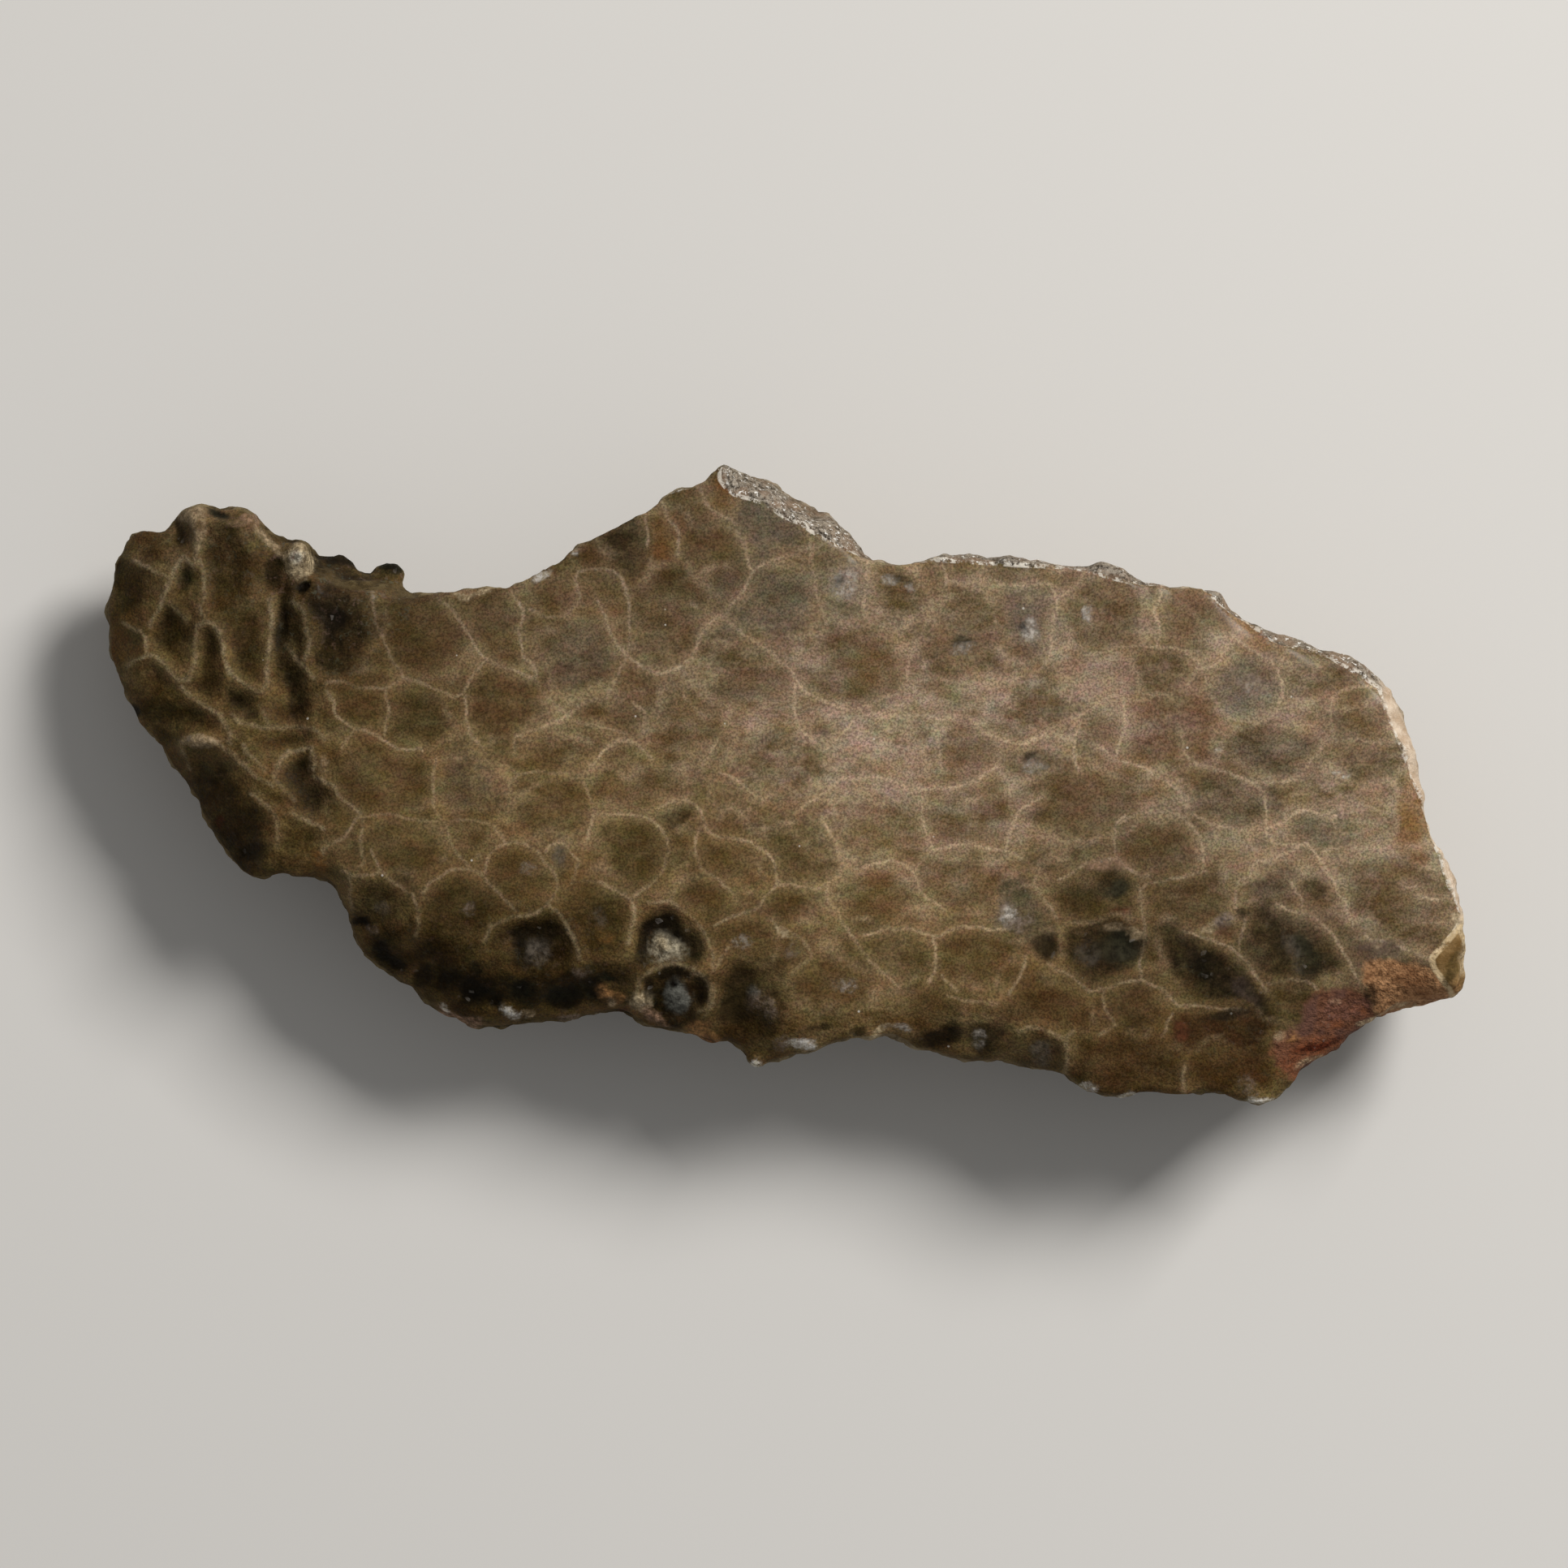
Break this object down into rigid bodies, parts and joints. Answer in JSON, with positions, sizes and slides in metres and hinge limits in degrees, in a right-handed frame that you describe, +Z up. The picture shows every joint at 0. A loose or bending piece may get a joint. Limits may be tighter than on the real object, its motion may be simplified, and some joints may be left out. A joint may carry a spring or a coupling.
{
  "type": "petoskey stone",
  "caption": "polished slab of petoskey stone, a fossil coral limestone, with pale wavy cell walls on warm grey-brown, a rolled lobe at one end and rough broken sides",
  "frame": {"origin": "under the middle of the slab's bounding box, at the height of the flat spot that it rests on", "axes": "+X along the slab's length, away from the rolled lobe; +Y across the polished face, towards the side with the peak; +Z up, out of the polished face"},
  "size_m": [0.1562, 0.074, 0.0221],
  "materials": {
    "polished_limestone": "hand polished on the upper face, rough on the broken sides and matt on the back"
  },
  "bodies": {
    "root": {"petoskey_stone": "polished_limestone"}
  },
  "joints": []
}
